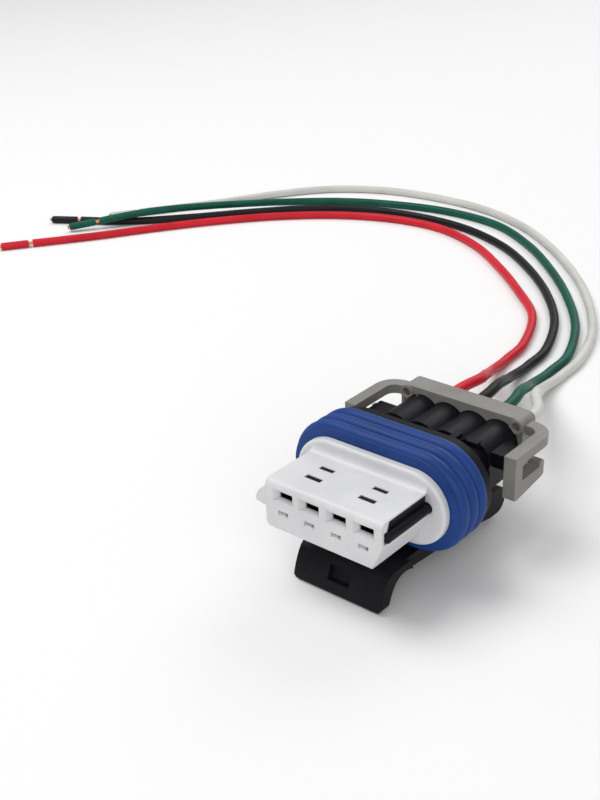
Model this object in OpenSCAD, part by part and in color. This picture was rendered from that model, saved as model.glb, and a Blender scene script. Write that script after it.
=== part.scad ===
// Sealed four-way plug connector with short leads.
// Within the connector, y runs back from the nose's front face, x is across the row of cavities,
// and z is measured from the connector's middle plane. in_place() moves that to the part's own
// frame: origin on the resting surface under the middle of the connector, +Z up, nose towards -Y.

/* [Cavities] */
// Distance between neighbouring cavities
pitch = 5.6; // [5.5:0.05:5.7]
// Height of the cavity row above the connector's middle plane
cavity_z = 0.3; // [0.2:0.1:0.4]
// Width of each blade mouth in the nose's front face
mouth_w = 4.3; // [3.8:0.1:4.5]
// Height of each blade mouth
mouth_h = 2.3; // [2.0:0.1:2.5]

/* [Nose] */
// Width of the nose
nose_w = 24.3; // [24.1:0.1:24.5]
// Height of the nose's top face above the middle plane
nose_top = 4.0; // [3.9:0.1:4.2]
// Depth of the nose's bottom face below the middle plane
nose_bottom = 5.2; // [5.1:0.1:5.4]
// Length of the nose in front of its flange
nose_l = 12.6; // [12.4:0.1:13]

/* [Flange and ring seal] */
// Distance from the middle to the centre of each round end of the flange and the seal
round_c = 8.7; // [8.6:0.02:8.9]
// Radius of the flange's round ends
flange_r = 6.95; // [6.9:0.05:7.2]
// Radius of the ring seal's round ends, over its ribs
seal_r = 9.4; // [9.2:0.1:9.4]
// Length of the ring seal
seal_l = 8.4; // [8.2:0.1:8.5]
// Height of the middle of the flange and the seal above the connector's middle plane
ring_z = -0.3; // [-0.3:0.1:-0.1]

/* [Housing] */
// Outer radius of the cable tubes
tube_r = 3.75; // [3.6:0.05:3.8]
// Radius of the tubes' bore that holds the cable seals
tube_bore_r = 2.62; // [2.5:0.02:2.7]

/* [Latch] */
// Width of the latch arm
latch_w = 17.2; // [16.6:0.2:17.6]
// Width of the latch's front lip
lip_w = 18.8; // [18:0.2:19]
// Height of the connector's middle plane above the resting surface
axis_h = 16.9; // [16.8:0.1:17.2]

/* [Rear retainer] */
// Width of the retainer's top bar
bar_w = 26.4; // [26.2:0.1:26.6]
// Width over the retainer's side arms
arms_w = 36.8; // [36.6:0.1:37.4]
// Thickness of the retainer's side arms
arm_t = 2.4; // [2.2:0.1:2.4]

/* [Leads] */
// Outside diameter of each wire
wire_d = 2.2; // [2:0.1:2.3]
// Diameter of each wire's stranded core
core_d = 1.2; // [1:0.1:1.4]
// Length of the insulation slug left at each wire's end
slug_l = 8; // [6:0.5:9]

/* [Hidden] */
$fn = 48;
eps = 0.01;
ways = 4;

// Stations along the connector, from the nose's front face
core_front = 1.3;
shell_t = 0.9;
flange_y = nose_l;
flange_t = 1.5;
land_front = flange_y + flange_t;
seal_front = land_front + 0.1;
rim_front = seal_front + seal_l + 0.1;
rim_t = 1.6;
tubes_front = 32;
tubes_rear = 42.7;
box_rear = 40.8;
bar_front = 41;
overall_l = 45.4;

// Fits
gap = 0.15;
bead_x = nose_w / 2 - 0.1;
bead_z = 1;
bead_r = 1;
land_r = 6.5;
rim_r = 8.6;
wire_r = wire_d / 2;
seat_r = tube_bore_r - 0.02;
crimp_r = 1.45;

// Latch hinge at the arm's rear root
root_y = 38.5;
root_z = -9.7;
root_r = 1.8;
root_w = 13;
arm_top = -10.1;
heel_y = 41.2;
heel_r = 2.75;

// The retainer's side arms
arm_x = arms_w / 2;
strap_top = 4.2;
strap_bottom = 2.4;
corner_r = 4.5;
strap_rear = 44.3;

// Routes of the leads behind the connector: across, back, and height above the lying height
red_route = [[-8.1, 38, 15.7], [-11.2, 45, 12.9], [-15.1, 52, 9.3], [-19.6, 60, 5], [-23.3, 68, 1.6],
             [-25.3, 77, 0], [-26.8, 88, 0], [-33.8, 104, 0], [-45, 116, 0], [-58, 127.7, 0],
             [-72.5, 138.4, 0], [-88.5, 144.6, 0], [-104.5, 143.8, 0], [-120.5, 137.2, 0],
             [-135, 126, 0], [-147.5, 112, 0], [-158.5, 96.5, 0], [-168.5, 80.5, 0], [-179.3, 65, 0]];
black_route = [[-3.9, 38, 15.7], [-6.7, 45, 12.9], [-10.4, 52, 9.3], [-14.7, 60, 5], [-18.1, 68, 1.6],
               [-19.6, 77, 0], [-20.8, 88, 0], [-27.5, 104, 0], [-38, 118.5, 0], [-51, 131.5, 0],
               [-66, 142.5, 0], [-83, 149, 0], [-100.5, 149.8, 0], [-117, 146, 0], [-131.5, 137.2, 0],
               [-144.5, 124, 0], [-157, 109, 0], [-170, 95.5, 0], [-183, 87.5, 0]];
green_route = [[1.2, 38, 15.7], [-1.5, 45, 12.9], [-5, 52, 9.3], [-9.2, 60, 5], [-12.5, 68, 1.6],
               [-13.9, 77, 0], [-15, 88, 0], [-21.7, 104, 0], [-32.5, 119.5, 0], [-45.5, 134, 0],
               [-60, 147, 0], [-76.5, 156.8, 0], [-94.5, 159, 0], [-111.5, 155.5, 0],
               [-127.5, 148.5, 0], [-140.5, 137.5, 0.4], [-150.5, 122.5, 1.8], [-160.5, 107, 2.8],
               [-167.5, 97.5, 2.5], [-174.8, 87.6, 1.3]];
white_route = [[4.6, 38, 15.7], [1.3, 45, 12.9], [-2.3, 52, 9.3], [-6.4, 60, 5], [-9.6, 68, 1.6],
               [-10.9, 77, 0], [-11.8, 88, 0], [-17.1, 104, 0], [-27.5, 121, 0], [-40, 136, 0],
               [-54.5, 149.5, 0], [-70.5, 160.5, 0], [-88, 167, 0], [-106, 168, 0], [-123.5, 164.8, 0],
               [-138.8, 156, 0], [-150, 142, 0], [-159.3, 125, 0], [-173.5, 103.3, 0]];
straight_l = 9;
core_gap = 1.2;
core_proud = 0.6;
tube_sides = 8;

function cavity_x(k) = (k - (ways - 1) / 2) * pitch;
exit_z = axis_h + cavity_z;
rear_y = overall_l / 2;

module in_place() translate([0, -overall_l / 2, axis_h]) children();

// A cylinder along y, from y0 to y1
module rod_y(x, z, r, y0, y1) translate([x, y0, z]) rotate([-90, 0, 0]) cylinder(h = y1 - y0, r = r);

// A block given by its low and high corners
module block(low, high) translate(low) cube(high - low);

// A front-view outline, in x and z, extruded along y
module along_y(y0, y1) translate([0, y1, 0]) rotate([90, 0, 0]) linear_extrude(height = y1 - y0) children();

// A side-view outline, in y and z, extruded along x
module along_x(x0, x1) translate([x0, 0, 0]) rotate([90, 0, 90]) linear_extrude(height = x1 - x0) children();

// A ring with round ends: its section is drawn with x as the distance out and y along the connector
module racetrack() translate([0, 0, ring_z]) {
    for (side = [0, 1]) {
        rotate([0, 180 * side, 0]) translate([round_c, 0, 0]) rotate([-90, 0, 0])
            rotate_extrude(angle = 180, start = -90) children();
        rotate([0, 180 * side, 0]) rotate([0, -90, 0])
            linear_extrude(height = 2 * round_c, center = true) children();
    }
}

// A solid racetrack of radius r, from y0 to y1
module puck(r, y0, y1) racetrack() translate([0, y0]) square([r, y1 - y0]);

// Every cavity in turn
module each_cavity() for (k = [0 : ways - 1]) translate([cavity_x(k), 0, 0]) children();

// ---- Nose ----

// The nose's front-view outline, drawn in by t: the lower right side slopes inwards as a key
module nose_outline(t) polygon([
    [-nose_w / 2 + t, nose_top - t], [nose_w / 2 - t, nose_top - t], [nose_w / 2 - t, -0.8 - t / 2],
    [nose_w / 2 - 2.05 - t / 2, -nose_bottom + t], [-nose_w / 2 + 0.85 + t / 2, -nose_bottom + t],
    [-nose_w / 2 + t, -nose_bottom + 0.85 + t / 2]]);

// The nose's side-view outline, with its round front edges
module nose_side() {
    top_edge_r = 1.1;
    low_edge_r = 0.4;
    translate([top_edge_r, nose_top - top_edge_r]) circle(r = top_edge_r);
    translate([low_edge_r, low_edge_r - nose_bottom]) circle(r = low_edge_r);
    translate([top_edge_r, -nose_bottom]) square([land_front - top_edge_r, nose_bottom + nose_top]);
    translate([0, low_edge_r - nose_bottom]) square([top_edge_r + eps, nose_bottom + nose_top - 1.5]);
    translate([low_edge_r, -nose_bottom]) square([1, 1]);
}

// A blade mouth: wide at the front face, narrowing on all sides to the blade hole
module mouth() {
    hole_w = 2.8;
    hole_h = 1.5;
    funnel_l = 1;
    mid = cavity_z + mouth_h / 2;
    intersection() {
        along_x(-mouth_w / 2, mouth_w / 2) polygon([
            [-eps, mid - mouth_h / 2], [-eps, mid + mouth_h / 2],
            [funnel_l, mid + hole_h / 2], [funnel_l, mid - hole_h / 2]]);
        translate([0, 0, -nose_bottom]) linear_extrude(height = nose_bottom + nose_top) polygon([
            [-mouth_w / 2, -eps], [mouth_w / 2, -eps], [hole_w / 2, funnel_l], [-hole_w / 2, funnel_l]]);
    }
    block([-hole_w / 2, 0.8, mid - hole_h / 2], [hole_w / 2, core_front + 1, mid + hole_h / 2]);
}

// A probe slot below each mouth, with its floor sloping up to the back and a hole through at its right end
module probe_slot() {
    slot_w = 2.1;
    slot_top = -1.25;
    along_x(-slot_w / 2, slot_w / 2) polygon([
        [-eps, slot_top - 1], [-eps, slot_top], [core_front + 1, slot_top], [core_front + 1, slot_top - 0.4],
        [1, slot_top - 0.4]]);
    block([0.15, 0.3, slot_top - 0.85], [slot_w / 2 - 0.1, core_front + 1, slot_top - 0.15]);
}

// The rail in the nose's right side: its side view, with a slanting front end, drawn in by t
module rail_view(t) polygon([
    [1.9 + t, nose_top - 0.25 - t], [1.3 + t, bead_z + 1], [1.3 + t, bead_z], [12.6 - t, bead_z],
    [12.6 - t, nose_top - 0.25 - t]]);

// The opening that shows the housing's rail and its bead
module rail_opening() {
    along_x(nose_w / 2 - 1.5, nose_w / 2 + 2) rail_view(0);
    rod_y(bead_x, bead_z, bead_r + 0.1, 0.6, land_front + 1);
}

// Lock windows in the top, one behind the other over the pairs of cavities. Spare is the gap round a tab.
module lock_window(side, spare, low, high) {
    block([side * pitch - 1.65 + spare, 4.4 + spare, low], [side * pitch + 1.65 - spare, 5.5 - spare, high]);
    block([side * pitch - 1.45 + spare, 8.1 + spare, low], [side * pitch + 1.45 - spare, 9.1 - spare, high]);
}

// Concave fillets between the nose and its flange
module nose_coves() {
    cove_r = 1.2;
    for (turn = [0, 1]) mirror([0, 0, turn]) {
        edge = turn == 0 ? nose_top : nose_bottom;
        half = nose_w / 2 - 2.2 * turn;
        along_x(-half, half) difference() {
            translate([flange_y - cove_r, edge - 1]) square([cove_r + 0.5, cove_r + 1]);
            translate([flange_y - cove_r, edge + cove_r]) circle(r = cove_r);
        }
    }
    translate([-nose_w / 2, 0, -nose_bottom + 0.85]) linear_extrude(height = nose_bottom + nose_top - 0.85)
        difference() {
            translate([-cove_r, flange_y - cove_r]) square([cove_r + 1, cove_r + 0.5]);
            translate([-cove_r, flange_y - cove_r]) circle(r = cove_r);
        }
}

module nose() color("whitesmoke") in_place() difference() {
    union() {
        intersection() {
            along_y(0, land_front) nose_outline(0);
            along_x(-nose_w / 2 - 1, nose_w / 2 + 1) nose_side();
        }
        nose_coves();
        // Key rib on the left side of the front
        along_y(0.2, 2.4) polygon([
            [-11.8, 3.1], [-14.05, 0.9], [-14.6, -0.4], [-14.4, -1.1], [-12, -1.4], [-11.5, 0]]);
        racetrack() {
            translate([0, flange_y]) square([flange_r - 0.6, flange_t]);
            translate([0, flange_y + 0.6]) square([flange_r, flange_t - 0.6]);
            translate([flange_r - 0.6, flange_y + 0.6]) circle(r = 0.6);
        }
    }
    along_y(core_front, land_front + 1) nose_outline(shell_t);
    each_cavity() {
        mouth();
        probe_slot();
    }
    rail_opening();
    for (side = [-1, 1]) lock_window(side, 0, 2, nose_top + 1);
}

// ---- Ring seal ----

module ring_seal() color("royalblue") in_place() racetrack() {
    rib_r = 1.35;
    first_y = rib_r + 0.35;
    rib_step = (seal_l - first_y - rib_r) / 2;
    translate([land_r + 0.02, seal_front]) square([seal_r - land_r - 0.8, seal_l]);
    for (i = [0 : 2])
        translate([seal_r - rib_r, seal_front + first_y + i * rib_step]) circle(r = rib_r);
}

// ---- Housing ----

// The inner core that carries the terminals, inside the nose
module core() {
    along_y(core_front + gap, rim_front + 0.5) nose_outline(shell_t + gap);
    // Rail shown in the nose's right side: a flat panel over a round-ended bead
    along_x(10.8, nose_w / 2 - 0.35) rail_view(0.12);
    block([10.8, 1.6, bead_z - 0.5], [bead_x - 0.2, 12.2, bead_z + 0.5]);
    rod_y(bead_x, bead_z, bead_r, 1.1, 13.8);
    translate([bead_x, 0.7, bead_z]) rotate([-90, 0, 0]) cylinder(h = 0.4, r1 = bead_r - 0.35, r2 = bead_r);
    // Tabs that lock the nose on
    for (side = [-1, 1]) lock_window(side, 0.08, 2.5, nose_top - 0.1);
}

// One cavity, from the core's front to the tube's rear end
module cavity() {
    block([-1.7, core_front - 1, cavity_z - 1.5], [1.7, 19, cavity_z + 2.2]);
    rod_y(0, cavity_z, 1.62, 18, 37);
    rod_y(0, cavity_z, tube_bore_r, 36.3, tubes_rear + 1);
}

// Side lug that holds the rear retainer
module side_lug() {
    lug_x = 15.7;
    along_y(33, 37.7) polygon([
        [11.5, -0.6], [lug_x - 0.5, -0.6], [lug_x, 0], [lug_x, 2.2], [11.5, 2.2]]);
}

// The seat under the housing in which the latch arm's root turns
module latch_seat() {
    seat_top = -5.1;
    difference() {
        block([-root_w / 2, root_y - 2.6, root_z + 0.7], [root_w / 2, root_y + 2.6, seat_top]);
        rod_x(root_y, root_z, root_r + gap, -root_w, root_w);
    }
}

module housing() color("#1d1d1f") in_place() {
    body_w = (ways - 1) * pitch + 2 * tube_r - 0.5;
    neck_w = body_w - 2.5;
    difference() {
        union() {
            core();
            puck(land_r, land_front + gap, rim_front + 1);
            puck(rim_r, rim_front, rim_front + rim_t);
            each_cavity() rod_y(0, cavity_z, tube_r - 1, rim_front + 0.7, tubes_front + 1);
            block([-neck_w / 2, rim_front + 0.9, -4.4], [neck_w / 2, tubes_front + 1.2, cavity_z - 0.4]);
            each_cavity() rod_y(0, cavity_z, tube_r, tubes_front, tubes_rear);
            block([-body_w / 2, tubes_front + 0.4, -5.2], [body_w / 2, box_rear, cavity_z - 0.8]);
        }
        each_cavity() cavity();
    }
    for (side = [0, 1]) mirror([side, 0, 0]) side_lug();
    latch_seat();
    // Index block and eyelet on the shoulder behind the rim
    block([4.2, 30.8, 1.8], [5.4, 33.4, 3.9]);
    block([7.5, 31.4, 2.3], [8.1, 32.6, 3.8]);
    block([9.2, 31.4, 2.1], [9.8, 32.6, 3.8]);
    block([7.5, 31.3, 3.4], [9.8, 32.7, 4]);
}

// ---- Latch arm ----

// Side view of the arm's side rails
module rail_side() polygon([
    [8.5, -10.6], [10, arm_top], [heel_y, arm_top], [heel_y, arm_top - 2 * heel_r], [39, -15.5], [32.5, -14.3],
    [22.5, -13.4], [13, -12.5], [10, -12.1]]);

// Side view of the thin plate between the rails
module plate_side() polygon([
    [8.5, -10.9], [10, arm_top - 0.4], [heel_y, arm_top - 0.4], [heel_y, arm_top - 2], [11, arm_top - 2],
    [9, -12.6]]);

// The lip at the arm's front: its side view is a curved wall, steep at the front, and its front view has
// cut corners
module lip() intersection() {
    along_x(-lip_w / 2, lip_w / 2) polygon([
        [3.4, 0.5 - axis_h], [3.5, -15.8], [3.75, -14.8], [4.1, -13.8], [4.5, -12.8], [5, -11.8], [5.6, -10.9],
        [6.3, -10.4], [7.2, arm_top - 0.05], [8.4, arm_top], [12, arm_top], [12.9, -12.2], [12, -11.8],
        [11, -11.6], [10, -11.6], [9, -11.8], [8.1, -12.3], [7.4, -13], [6.8, -13.9], [6.3, -14.9],
        [5.9, -15.9], [5.5, -axis_h], [3.8, -axis_h]]);
    along_y(0, 16) polygon([
        [-lip_w / 2, -9], [lip_w / 2, -9], [lip_w / 2, 1 - axis_h], [lip_w / 2 - 0.9, -axis_h],
        [0.9 - lip_w / 2, -axis_h], [-lip_w / 2, 1 - axis_h]]);
}

// A pin or bore along x, from x0 to x1
module rod_x(y, z, r, x0, x1) translate([x0, y, z]) rotate([0, 90, 0]) cylinder(h = x1 - x0, r = r);

module latch_arm() color("#1b1b1d") in_place() {
    rail_w = 1.6;
    foot_r = 2.6;
    pocket_w = 4.6;
    difference() {
        union() {
            for (side = [0, 1]) mirror([side, 0, 0]) {
                along_x(latch_w / 2 - rail_w, latch_w / 2) rail_side();
                rod_x(heel_y, arm_top - heel_r, heel_r, latch_w / 2 - rail_w, latch_w / 2);
            }
            along_x(-latch_w / 2 + 1, latch_w / 2 - 1) plate_side();
            lip();
            // Foot under the heel
            rod_x(heel_y - 0.6, foot_r - axis_h, foot_r, -5, 5);
            // Root that turns in the seat under the housing
            rod_x(root_y, root_z, root_r, -root_w / 2, root_w / 2);
        }
        // Pocket for the mating half's lock tooth, in the lip's front
        along_x(-pocket_w / 2, pocket_w / 2) polygon([[2, -14.4], [4.9, -14.4], [6.1, -11.8], [3, -11.8]]);
    }
}

// ---- Rear retainer ----

// One side arm: a strap round the corner and forwards, a front leg, and a hooked bottom bar
module side_arm() {
    inner_x = arm_x - arm_t;
    leg_front = 30.1;
    leg_rear = 32.5;
    leg_bottom = -4;
    corner_x = arm_x - corner_r;
    corner_y = strap_rear - corner_r;
    translate([0, 0, strap_bottom]) linear_extrude(height = strap_top - strap_bottom) {
        translate([inner_x, leg_front]) square([arm_t, corner_y - leg_front + eps]);
        translate([bar_w / 2 - 1, strap_rear - arm_t]) square([corner_x - bar_w / 2 + 1 + eps, arm_t]);
        intersection() {
            translate([corner_x, corner_y]) difference() {
                circle(r = corner_r);
                circle(r = corner_r - arm_t);
            }
            translate([corner_x, corner_y]) square(corner_r);
        }
    }
    along_x(inner_x, arm_x) polygon([
        [leg_front, leg_bottom], [leg_front, strap_top], [leg_rear, strap_top], [leg_rear, -0.9],
        [38.4, -0.9], [38.6, 0.2], [39.5, 0.2], [39.9, -0.3], [39.9, -2.8], [39.4, -3.1],
        [leg_front + 0.8, leg_bottom - 0.2]]);
}

// Front view of the bar: its top corners are round
module bar_outline() {
    top_r = 1.5;
    bar_top = 5.4;
    bar_bottom = -4.8;
    translate([-bar_w / 2, bar_bottom]) square([bar_w, bar_top - bar_bottom - top_r]);
    translate([-bar_w / 2 + top_r, bar_bottom]) square([bar_w - 2 * top_r, bar_top - bar_bottom]);
    for (side = [-1, 1]) translate([side * (bar_w / 2 - top_r), bar_top - top_r]) circle(r = top_r);
}

module rear_retainer() color("#a09c94") in_place() {
    boss_x = 11.9;
    boss_z = 3.9;
    difference() {
        union() {
            along_y(bar_front, overall_l) bar_outline();
            for (side = [-1, 1]) rod_y(side * boss_x, boss_z, 1.4, bar_front - 0.35, bar_front + 1);
        }
        // Scalloped recess over the housing's cable tubes
        each_cavity() rod_y(0, cavity_z, tube_r + gap, bar_front - 1, tubes_rear + gap);
        // Holes for the leads
        each_cavity() rod_y(0, cavity_z, wire_r + 0.4, tubes_rear, overall_l + 1);
        for (side = [-1, 1]) rod_y(side * boss_x, boss_z, 0.8, bar_front - 1, bar_front + 0.8);
    }
    for (side = [0, 1]) mirror([side, 0, 0]) side_arm();
}

// ---- Inside the cavities ----

module cable_seal(k) color("#3f7f5a") in_place() translate([cavity_x(k), 0, cavity_z]) difference() {
    seal_y = 36.4;
    union() {
        rod_y(0, 0, seat_r - 0.35, seal_y, tubes_rear - 0.1);
        for (i = [0 : 2]) rod_y(0, 0, seat_r, seal_y + 0.5 + 2 * i, seal_y + 1.5 + 2 * i);
    }
    rod_y(0, 0, wire_r + 0.02, seal_y - 1, tubes_rear + 1);
}

module terminal(k) color("#c9b27a") in_place() translate([cavity_x(k), 0, cavity_z]) difference() {
    box_rear_y = 13;
    crimp_y = 20;
    wire_y = 25;
    union() {
        block([-1.35, 4.4, 0], [1.35, box_rear_y, 2.1]);
        block([-1.2, box_rear_y - 1, 0], [1.2, crimp_y + 0.5, 0.35]);
        rod_y(0, 0, 1, crimp_y, 24);
        block([-0.5, 23.5, -1.15], [0.5, wire_y + 1, -0.85]);
        rod_y(0, 0, crimp_r, wire_y, 29);
    }
    block([-0.95, 4, 0.4], [0.95, box_rear_y - 0.5, 1.7]);
    rod_y(0, 0, wire_r + 0.02, wire_y - 0.8, 30);
}

// ---- Leads ----

// The whole line of a lead's axis: straight out of its cavity, then along its route
function lead_line(k, route) = concat(
    [[cavity_x(k), rear_y - 1, exit_z], [cavity_x(k), rear_y + straight_l, exit_z]],
    [for (p = route) [p[0], p[1], p[2] + wire_r]]);

function unit(v) = v / norm(v);

// The direction of a line at its point i
function heading(line, i) =
    let (last = len(line) - 1)
    unit(line[min(i + 1, last)] - line[max(i - 1, 0)]);

// A ring of corners round point i, level sides first
function ring_at(line, i, r) =
    let (ahead = heading(line, i), side = unit(cross(ahead, [0, 0, 1])), up = cross(side, ahead))
    [for (j = [0 : tube_sides - 1])
        let (a = (j + 0.5) * 360 / tube_sides) line[i] + r * (cos(a) * side + sin(a) * up)];

module swept(line, r) {
    last = len(line) - 1;
    n = tube_sides;
    corners = [for (i = [0 : last]) each ring_at(line, i, r)];
    sides = [for (i = [0 : last - 1], j = [0 : n - 1])
        [i * n + j, i * n + (j + 1) % n, (i + 1) * n + (j + 1) % n, (i + 1) * n + j]];
    start = [for (j = [n - 1 : -1 : 0]) j];
    end = [for (j = [0 : n - 1]) last * n + j];
    polyhedron(points = corners, faces = concat(sides, [start], [end]));
}

// Moves something drawn along z to the end of a line, along the line's last stretch
module at_end(line) {
    last = len(line) - 1;
    ahead = unit(line[last] - line[last - 1]);
    translate(line[last]) rotate([0, acos(ahead[2]), atan2(ahead[1], ahead[0])]) children();
}

module wire(k, route, shade) color(shade) {
    in_place() rod_y(cavity_x(k), cavity_z, wire_r, 24.5, overall_l);
    swept(lead_line(k, route), wire_r - 0.01);
}

module end_core(k, route) color("#b87348") at_end(lead_line(k, route))
    cylinder(h = core_gap + slug_l + core_proud, r = core_d / 2);

module end_slug(k, route, shade) color(shade) at_end(lead_line(k, route))
    translate([0, 0, core_gap]) difference() {
        cylinder(h = slug_l, r = wire_r - 0.01);
        translate([0, 0, -1]) cylinder(h = slug_l + 2, r = core_d / 2 + 0.01);
    }

housing();
latch_arm();
nose();
ring_seal();
rear_retainer();
cable_seal(0);  // cable_seal_1
cable_seal(1);  // cable_seal_2
cable_seal(2);  // cable_seal_3
cable_seal(3);  // cable_seal_4
terminal(0);  // terminal_1
terminal(1);  // terminal_2
terminal(2);  // terminal_3
terminal(3);  // terminal_4
wire(0, red_route, "crimson");  // wire_red
wire(1, black_route, "#202022");  // wire_black
wire(2, green_route, "#0d6b4f");  // wire_green
wire(3, white_route, "white");  // wire_white
end_core(0, red_route);  // core_red
end_core(1, black_route);  // core_black
end_core(2, green_route);  // core_green
end_core(3, white_route);  // core_white
end_slug(0, red_route, "crimson");  // slug_red
end_slug(1, black_route, "#202022");  // slug_black
end_slug(2, green_route, "#0d6b4f");  // slug_green
end_slug(3, white_route, "white");  // slug_white
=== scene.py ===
"""Looks of a sealed four-way plug connector with free leads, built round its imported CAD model."""
import math

import bmesh
import bpy
from mathutils import Matrix, Vector


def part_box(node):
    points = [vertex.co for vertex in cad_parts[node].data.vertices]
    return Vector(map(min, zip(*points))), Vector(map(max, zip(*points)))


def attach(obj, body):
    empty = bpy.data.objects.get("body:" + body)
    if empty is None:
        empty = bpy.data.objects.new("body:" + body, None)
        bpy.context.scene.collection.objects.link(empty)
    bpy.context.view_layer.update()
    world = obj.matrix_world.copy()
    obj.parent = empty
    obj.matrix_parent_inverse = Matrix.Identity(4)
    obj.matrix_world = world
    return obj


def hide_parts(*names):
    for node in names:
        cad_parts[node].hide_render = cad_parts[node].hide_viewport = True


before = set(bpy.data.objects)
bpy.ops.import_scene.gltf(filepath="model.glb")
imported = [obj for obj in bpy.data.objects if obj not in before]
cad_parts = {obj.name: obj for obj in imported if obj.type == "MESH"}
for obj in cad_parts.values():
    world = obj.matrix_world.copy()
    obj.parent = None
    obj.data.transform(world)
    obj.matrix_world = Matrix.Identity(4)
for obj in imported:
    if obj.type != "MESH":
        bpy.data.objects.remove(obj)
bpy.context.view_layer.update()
MM = 0.001

# The connector's measures: its rear face, its row of cavities, and its leads
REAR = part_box("rear_retainer")[1].y
PITCH = 5.6 * MM
CAVITY_Z = 17.2 * MM
WIRE_D = 2.2 * MM
WIRE_R = WIRE_D / 2
CORE_R = 0.6 * MM
CORE_GAP = 1.2 * MM
SLUG_L = 8 * MM
CORE_PROUD = 0.6 * MM

# The leads' routes: each one's place in the row of cavities, then its points in millimetres, as
# across, back, and height above the lying height
ROUTES = {
    "red": (0, [
        (-8.1, 38, 15.7), (-11.2, 45, 12.9), (-15.1, 52, 9.3), (-19.6, 60, 5), (-23.3, 68, 1.6),
        (-25.3, 77, 0), (-26.8, 88, 0), (-33.8, 104, 0), (-45, 116, 0), (-58, 127.7, 0),
        (-72.5, 138.4, 0), (-88.5, 144.6, 0), (-104.5, 143.8, 0), (-120.5, 137.2, 0), (-135, 126, 0),
        (-147.5, 112, 0), (-158.5, 96.5, 0), (-168.5, 80.5, 0), (-179.3, 65, 0)]),
    "black": (1, [
        (-3.9, 38, 15.7), (-6.7, 45, 12.9), (-10.4, 52, 9.3), (-14.7, 60, 5), (-18.1, 68, 1.6),
        (-19.6, 77, 0), (-20.8, 88, 0), (-27.5, 104, 0), (-38, 118.5, 0), (-51, 131.5, 0),
        (-66, 142.5, 0), (-83, 149, 0), (-100.5, 149.8, 0), (-117, 146, 0), (-131.5, 137.2, 0),
        (-144.5, 124, 0), (-157, 109, 0), (-170, 95.5, 0), (-183, 87.5, 0)]),
    "green": (2, [
        (1.2, 38, 15.7), (-1.5, 45, 12.9), (-5, 52, 9.3), (-9.2, 60, 5), (-12.5, 68, 1.6),
        (-13.9, 77, 0), (-15, 88, 0), (-21.7, 104, 0), (-32.5, 119.5, 0), (-45.5, 134, 0),
        (-60, 147, 0), (-76.5, 156.8, 0), (-94.5, 159, 0), (-111.5, 155.5, 0), (-127.5, 148.5, 0),
        (-140.5, 137.5, 0.4), (-150.5, 122.5, 1.8), (-160.5, 107, 2.8), (-167.5, 97.5, 2.5),
        (-174.8, 87.6, 1.3)]),
    "white": (3, [
        (4.6, 38, 15.7), (1.3, 45, 12.9), (-2.3, 52, 9.3), (-6.4, 60, 5), (-9.6, 68, 1.6),
        (-10.9, 77, 0), (-11.8, 88, 0), (-17.1, 104, 0), (-27.5, 121, 0), (-40, 136, 0),
        (-54.5, 149.5, 0), (-70.5, 160.5, 0), (-88, 167, 0), (-106, 168, 0), (-123.5, 164.8, 0),
        (-138.8, 156, 0), (-150, 142, 0), (-159.3, 125, 0), (-173.5, 103.3, 0)]),
}
STRAIGHT_L = 9 * MM
WIRE_START_Y = 1.8 * MM
STRANDS = 7

# Depth of the finest surface relief
GRAIN_DEPTH = 0.1 * MM


# ---- Shader helpers ----

def new_material(name):
    """A material with a Principled shader, and a helper that adds nodes to it."""
    mat = bpy.data.materials.new(name)
    mat.use_nodes = True
    tree = mat.node_tree
    shader = tree.nodes["Principled BSDF"]

    def add(kind, inputs=None, **fields):
        n = tree.nodes.new(kind)
        for key, value in fields.items():
            setattr(n, key, value)
        for key, value in (inputs or {}).items():
            if isinstance(value, bpy.types.NodeSocket):
                tree.links.new(value, n.inputs[key])
            else:
                n.inputs[key].default_value = value
        return n

    return mat, tree, shader, add


def ramp(add, source, stops):
    """A colour ramp over a factor."""
    n = add("ShaderNodeValToRGB", {"Fac": source})
    while len(n.color_ramp.elements) < len(stops):
        n.color_ramp.elements.new(0.5)
    for element, (pos, color) in zip(n.color_ramp.elements, stops):
        element.position = pos
        element.color = (*color, 1)
    return n.outputs["Color"]


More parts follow.
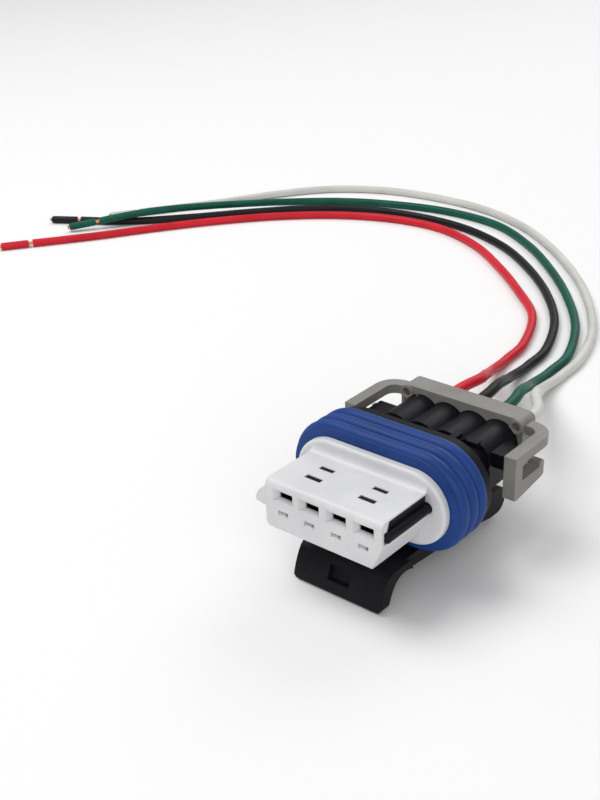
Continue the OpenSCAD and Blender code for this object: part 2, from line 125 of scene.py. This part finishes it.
def moulded(name, low, high, rough, grain=900, bump=0.05, subsurface=0.0, streak=0.0,
            edge=0.15, specular=0.5, specks=0.0):
    """Moulded plastic or rubber: soft colour clouds, fine grain, faint scuffs, uneven gloss, rounded
    edges with a radius of edge millimetres, and pale specks of dust in the given share of spots."""
    cloud_scale, dust_scale = 110, 420
    scuff_scale, scuff_turn = (3000, 260, 3000), (0.3, 0.2, 0.5)
    dust_tint = (0.45, 0.5, 0.6, 1)
    mat, tree, shader, add = new_material(name)
    where = add("ShaderNodeTexCoord").outputs["Object"]
    clouds = add("ShaderNodeTexNoise", {"Vector": where, "Scale": cloud_scale, "Detail": 4,
                                         "Roughness": 0.6})
    tint = ramp(add, clouds.outputs["Fac"], [(0.35, low), (0.65, high)])
    fine = add("ShaderNodeTexNoise", {"Vector": where, "Scale": grain, "Detail": 3, "Roughness": 0.7})
    stretched = add("ShaderNodeMapping", {"Vector": where, "Scale": scuff_scale,
                                          "Rotation": scuff_turn})
    scuffs = add("ShaderNodeTexNoise", {"Vector": stretched.outputs["Vector"], "Scale": 1, "Detail": 2})
    scuff = add("ShaderNodeMapRange", {"Value": scuffs.outputs["Fac"], "From Min": 0.56, "From Max": 0.72,
                                       "To Min": 0, "To Max": streak})
    gloss = add("ShaderNodeMapRange", {"Value": clouds.outputs["Fac"], "From Min": 0.3, "From Max": 0.7,
                                       "To Min": rough[0], "To Max": rough[1]})
    rougher = add("ShaderNodeMath", {0: gloss.outputs["Result"], 1: scuff.outputs["Result"]},
                  operation="ADD")
    height = add("ShaderNodeMath", {0: fine.outputs["Fac"], 1: scuff.outputs["Result"]},
                 operation="SUBTRACT")
    relief = add("ShaderNodeBump", {"Height": height.outputs["Value"], "Strength": bump,
                                    "Distance": GRAIN_DEPTH})
    if edge:
        rounded = add("ShaderNodeBevel", {"Radius": edge * MM}, samples=4)
        tree.links.new(rounded.outputs["Normal"], relief.inputs["Normal"])
    if specks:
        cells = add("ShaderNodeTexVoronoi", {"Vector": where, "Scale": dust_scale})
        near = add("ShaderNodeMapRange", {"Value": cells.outputs["Distance"], "From Min": 0.05,
                                          "From Max": 0.09, "To Min": 1, "To Max": 0})
        pick = add("ShaderNodeSeparateColor", {"Color": cells.outputs["Color"]})
        rare = add("ShaderNodeMath", {0: pick.outputs["Red"], 1: 1 - specks}, operation="GREATER_THAN")
        dust = add("ShaderNodeMath", {0: near.outputs["Result"], 1: rare.outputs["Value"]},
                   operation="MULTIPLY")
        dusty = add("ShaderNodeMix", {"A": tint, "B": dust_tint}, data_type="RGBA")
        tree.links.new(dust.outputs["Value"], dusty.inputs["Factor"])
        tint = dusty.outputs["Result"]
    tree.links.new(tint, shader.inputs["Base Color"])
    tree.links.new(rougher.outputs["Value"], shader.inputs["Roughness"])
    tree.links.new(relief.outputs["Normal"], shader.inputs["Normal"])
    shader.inputs["Specular IOR Level"].default_value = specular
    if subsurface:
        shader.inputs["Subsurface Weight"].default_value = subsurface
        shader.inputs["Subsurface Scale"].default_value = 1.2 * MM
        shader.inputs["Subsurface Radius"].default_value = (1, 0.9, 0.8)
    return mat


def insulation(name, low, high, rough):
    """Extruded wire insulation: a finer grain, faint streaks and a soft gloss."""
    return moulded(name, low, high, rough, grain=1600, bump=0.06, streak=0.08, edge=0, specular=0.22)


def metal(name, low, high, rough):
    """Bare metal with small uneven patches."""
    mat, tree, shader, add = new_material(name)
    where = add("ShaderNodeTexCoord").outputs["Object"]
    clouds = add("ShaderNodeTexNoise", {"Vector": where, "Scale": 700, "Detail": 5, "Roughness": 0.6})
    tint = ramp(add, clouds.outputs["Fac"], [(0.35, low), (0.7, high)])
    gloss = add("ShaderNodeMapRange", {"Value": clouds.outputs["Fac"],
                                       "To Min": rough[0], "To Max": rough[1]})
    relief = add("ShaderNodeBump", {"Height": clouds.outputs["Fac"], "Strength": 0.15,
                                    "Distance": GRAIN_DEPTH})
    tree.links.new(tint, shader.inputs["Base Color"])
    tree.links.new(gloss.outputs["Result"], shader.inputs["Roughness"])
    tree.links.new(relief.outputs["Normal"], shader.inputs["Normal"])
    shader.inputs["Metallic"].default_value = 1
    return mat


BLACK_NYLON = moulded("black_nylon", (0.004, 0.004, 0.006), (0.008, 0.008, 0.011), (0.38, 0.54),
                      bump=0.08, streak=0.12, specular=0.15, specks=0.02)
WHITE_NYLON = moulded("white_nylon", (0.62, 0.622, 0.632), (0.68, 0.682, 0.692), (0.36, 0.5),
                      bump=0.05, subsurface=0.1, streak=0.08, edge=0.25)
GREY_NYLON = moulded("grey_nylon", (0.195, 0.188, 0.175), (0.25, 0.241, 0.226), (0.4, 0.55),
                     bump=0.1, streak=0.14, specular=0.4, edge=0.2)
BLUE_SILICONE = moulded("blue_silicone", (0.005, 0.036, 0.17), (0.009, 0.050, 0.235), (0.42, 0.58),
                        bump=0.06, specular=0.25, specks=0.08)
GREEN_SILICONE = moulded("green_silicone", (0.04, 0.2, 0.1), (0.06, 0.28, 0.15), (0.4, 0.55))
COPPER = metal("copper_strand", (0.62, 0.30, 0.16), (0.80, 0.44, 0.26), (0.25, 0.4))
TIN = metal("tinned_brass", (0.60, 0.55, 0.42), (0.74, 0.69, 0.55), (0.28, 0.42))
INSULATION = {
    "red": insulation("red_insulation", (0.52, 0.008, 0.020), (0.64, 0.014, 0.032), (0.36, 0.48)),
    "black": insulation("black_insulation", (0.005, 0.005, 0.006), (0.010, 0.010, 0.011), (0.4, 0.55)),
    "green": insulation("green_insulation", (0.0, 0.066, 0.044), (0.002, 0.10, 0.068), (0.36, 0.5)),
    "white": insulation("white_insulation", (0.56, 0.55, 0.52), (0.64, 0.63, 0.60), (0.34, 0.48)),
}


# ---- Camera, light and floor ----

def set_stage():
    """A camera from the front right at the photograph's angle, a pale floor and soft light."""
    distance, floor_reach = 0.24, 3
    turn, rise, roll = math.radians(40.15), math.radians(26.94), math.radians(-1.64)
    away = Vector((math.sin(turn) * math.cos(rise), -math.cos(turn) * math.cos(rise), math.sin(rise)))
    right = Vector((math.cos(turn), math.sin(turn), 0))
    up = away.cross(right)
    right, up = (math.cos(roll) * right + math.sin(roll) * up,
                 -math.sin(roll) * right + math.cos(roll) * up)
    target = Vector((-24.2, 1.3, 22.2)) * MM
    data = bpy.data.cameras.new("camera")
    data.lens = 58.27
    data.sensor_width = 36
    data.clip_start = 0.01
    camera = bpy.data.objects.new("camera", data)
    bpy.context.collection.objects.link(camera)
    camera.matrix_world = Matrix.Translation(target + distance * away) @ Matrix(
        (right, up, away)).transposed().to_4x4()
    bpy.context.scene.camera = camera
    bpy.context.scene.view_settings.view_transform = "Standard"

    world = bpy.data.worlds.new("studio")
    world.use_nodes = True
    background = world.node_tree.nodes["Background"]
    background.inputs["Color"].default_value = (1, 1, 1, 1)
    background.inputs["Strength"].default_value = 0.42
    bpy.context.scene.world = world

    mesh = bpy.data.meshes.new("floor")
    corners = ((-1, -1), (1, -1), (1, 1), (-1, 1))
    mesh.from_pydata([(floor_reach * x, floor_reach * y, 0) for x, y in corners], [], [(0, 1, 2, 3)])
    floor = bpy.data.objects.new("floor", mesh)
    bpy.context.collection.objects.link(floor)
    mat, tree, shader, add = new_material("floor")
    clouds = add("ShaderNodeTexNoise", {"Scale": 4, "Detail": 2})
    tint = ramp(add, clouds.outputs["Fac"], [(0.3, (0.86, 0.86, 0.86)), (0.7, (0.88, 0.88, 0.88))])
    tree.links.new(tint, shader.inputs["Base Color"])
    shader.inputs["Roughness"].default_value = 0.9
    mesh.materials.append(mat)

    centre = Vector((0, 0, 10)) * MM
    for name, place, size, power in (("key", (-0.35, -0.15, 0.75), 0.5, 4.0),
                                     ("fill", (0.55, -0.55, 0.45), 0.6, 2.3),
                                     ("back", (-0.1, 0.7, 0.55), 0.5, 1.8)):
        lamp = bpy.data.lights.new(name, "AREA")
        lamp.size = size
        lamp.energy = power
        light = bpy.data.objects.new(name, lamp)
        bpy.context.collection.objects.link(light)
        light.location = place
        light.rotation_mode = "QUATERNION"
        light.rotation_quaternion = (centre - Vector(place)).to_track_quat("-Z", "Y")


# ---- Leads ----

def lead_points(color):
    """The lead's line in metres: out of its cavity, then along its route."""
    k, route = ROUTES[color]
    x = (k - 1.5) * PITCH
    line = [Vector((x, WIRE_START_Y, CAVITY_Z)), Vector((x, REAR, CAVITY_Z)),
            Vector((x, REAR + STRAIGHT_L, CAVITY_Z))]
    return line + [Vector((a, b, c)) * MM + Vector((0, 0, WIRE_R)) for a, b, c in route]


def smooth_line(points, steps=8):
    """A smooth curve through the points. Its height never dips below the lower end of a stretch."""
    out = []
    last = len(points) - 1
    for i in range(last):
        a, b, c, d = (points[max(i - 1, 0)], points[i], points[i + 1], points[min(i + 2, last)])
        low, high = min(b.z, c.z), max(b.z, c.z)
        for s in range(steps):
            t = s / steps
            p = 0.5 * (2 * b + (c - a) * t + (2 * a - 5 * b + 4 * c - d) * t * t
                       + (3 * b - a - 3 * c + d) * t ** 3)
            p.z = min(max(p.z, low), high)
            out.append(p)
    out.append(points[-1])
    return out


def link_mesh(name, mesh, material):
    """Puts a mesh in the scene with its material, shaded smooth."""
    obj = bpy.data.objects.new(name, mesh)
    bpy.context.collection.objects.link(obj)
    mesh.materials.append(material)
    for p in mesh.polygons:
        p.use_smooth = True
    return obj


def frame_along(ahead):
    """Two sideways directions square to a line's direction."""
    side = ahead.cross(Vector((0, 0, 1))).normalized()
    return side, side.cross(ahead).normalized()


def strand_bundle(name, start, ahead, length):
    """A twisted conductor: one strand in the middle and the others wound round it, with cut ends."""
    bm = bmesh.new()
    side, up = frame_along(ahead)
    strand_r, fit = CORE_R / 3, 0.98
    spacing, winding = math.radians(360 / (STRANDS - 1)), math.radians(300)
    steps, sides = 24, 8
    for k in range(STRANDS):
        out = 0 if k == 0 else 2 * strand_r
        rings = []
        for i in range(steps + 1):
            t = i / steps
            turn = k * spacing + t * winding
            centre = start + ahead * (length * t) + out * (math.cos(turn) * side + math.sin(turn) * up)
            rings.append([bm.verts.new(centre + strand_r * fit * (
                math.cos(a) * side + math.sin(a) * up))
                for a in (math.tau * j / sides for j in range(sides))])
        for low, high in zip(rings, rings[1:]):
            for j in range(sides):
                bm.faces.new((low[j], low[(j + 1) % sides], high[(j + 1) % sides], high[j]))
        bm.faces.new(rings[0][::-1])
        bm.faces.new(rings[-1])
    mesh = bpy.data.meshes.new(name)
    bmesh.ops.recalc_face_normals(bm, faces=bm.faces)
    bm.to_mesh(mesh)
    bm.free()
    return link_mesh(name, mesh, COPPER)


def slug_tube(name, start, ahead, material):
    """The cut length of insulation, slid along the strands: slightly crushed at its cut ends."""
    bm = bmesh.new()
    side, up = frame_along(ahead)
    sides, swell, waves = 32, 0.01, 5
    # Along the sleeve, and the share of the wire's radius there
    profile = [(0.00, 0.60), (0.00, 0.86), (0.03, 0.96), (0.09, 0.985), (0.5, 0.99), (0.91, 0.985),
               (0.97, 0.95), (1.00, 0.84), (1.00, 0.60)]
    rings = []
    for t, r in profile:
        rings.append([bm.verts.new(start + ahead * (SLUG_L * t) + WIRE_R * r * (
            math.cos(a) * side * (1 + swell * math.sin(waves * t)) + math.sin(a) * up))
            for a in (math.tau * j / sides for j in range(sides))])
    for low, high in zip(rings, rings[1:] + rings[:1]):
        for j in range(sides):
            bm.faces.new((low[j], low[(j + 1) % sides], high[(j + 1) % sides], high[j]))
    mesh = bpy.data.meshes.new(name)
    bmesh.ops.recalc_face_normals(bm, faces=bm.faces)
    bm.to_mesh(mesh)
    bm.free()
    return link_mesh(name, mesh, material)


def make_lead(color):
    """One lead as a smooth curve, with its bare strands and the loosened slug on its end."""
    points = lead_points(color)
    line = smooth_line(points)
    data = bpy.data.curves.new("lead_" + color, "CURVE")
    data.dimensions = "3D"
    spline = data.splines.new("POLY")
    spline.points.add(len(line) - 1)
    for point, p in zip(spline.points, line):
        point.co = (*p, 1)
    data.bevel_depth = WIRE_R
    data.bevel_resolution = 6
    data.use_fill_caps = True
    lead = bpy.data.objects.new("lead_" + color, data)
    bpy.context.collection.objects.link(lead)
    data.materials.append(INSULATION[color])
    spline.use_smooth = True

    ahead = (points[-1] - points[-2]).normalized()
    hidden = 1 * MM
    strands = strand_bundle("strands_" + color, points[-1] - ahead * hidden, ahead,
                            hidden + CORE_GAP + SLUG_L + CORE_PROUD)
    slug = slug_tube("sleeve_" + color, points[-1] + ahead * CORE_GAP, ahead, INSULATION[color])
    for piece, node, slot in ((lead, "wire_" + color, color + "_insulation"),
                              (strands, "core_" + color, "copper"),
                              (slug, "slug_" + color, color + "_insulation")):
        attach(piece, "connector")
        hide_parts(node)


# ---- Carried-over CAD nodes ----

def finish_node(node, material):
    """Gives a carried-over CAD node its material."""
    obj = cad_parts[node]
    for slot in obj.material_slots:
        slot.material = material


set_stage()
for lead_color in ROUTES:
    make_lead(lead_color)

for cad_node, cad_material in (("housing", BLACK_NYLON), ("latch_arm", BLACK_NYLON),
                               ("nose", WHITE_NYLON), ("ring_seal", BLUE_SILICONE),
                               ("rear_retainer", GREY_NYLON)):
    finish_node(cad_node, cad_material)
for way in range(1, 5):
    finish_node("cable_seal_%d" % way, GREEN_SILICONE)
    finish_node("terminal_%d" % way, TIN)
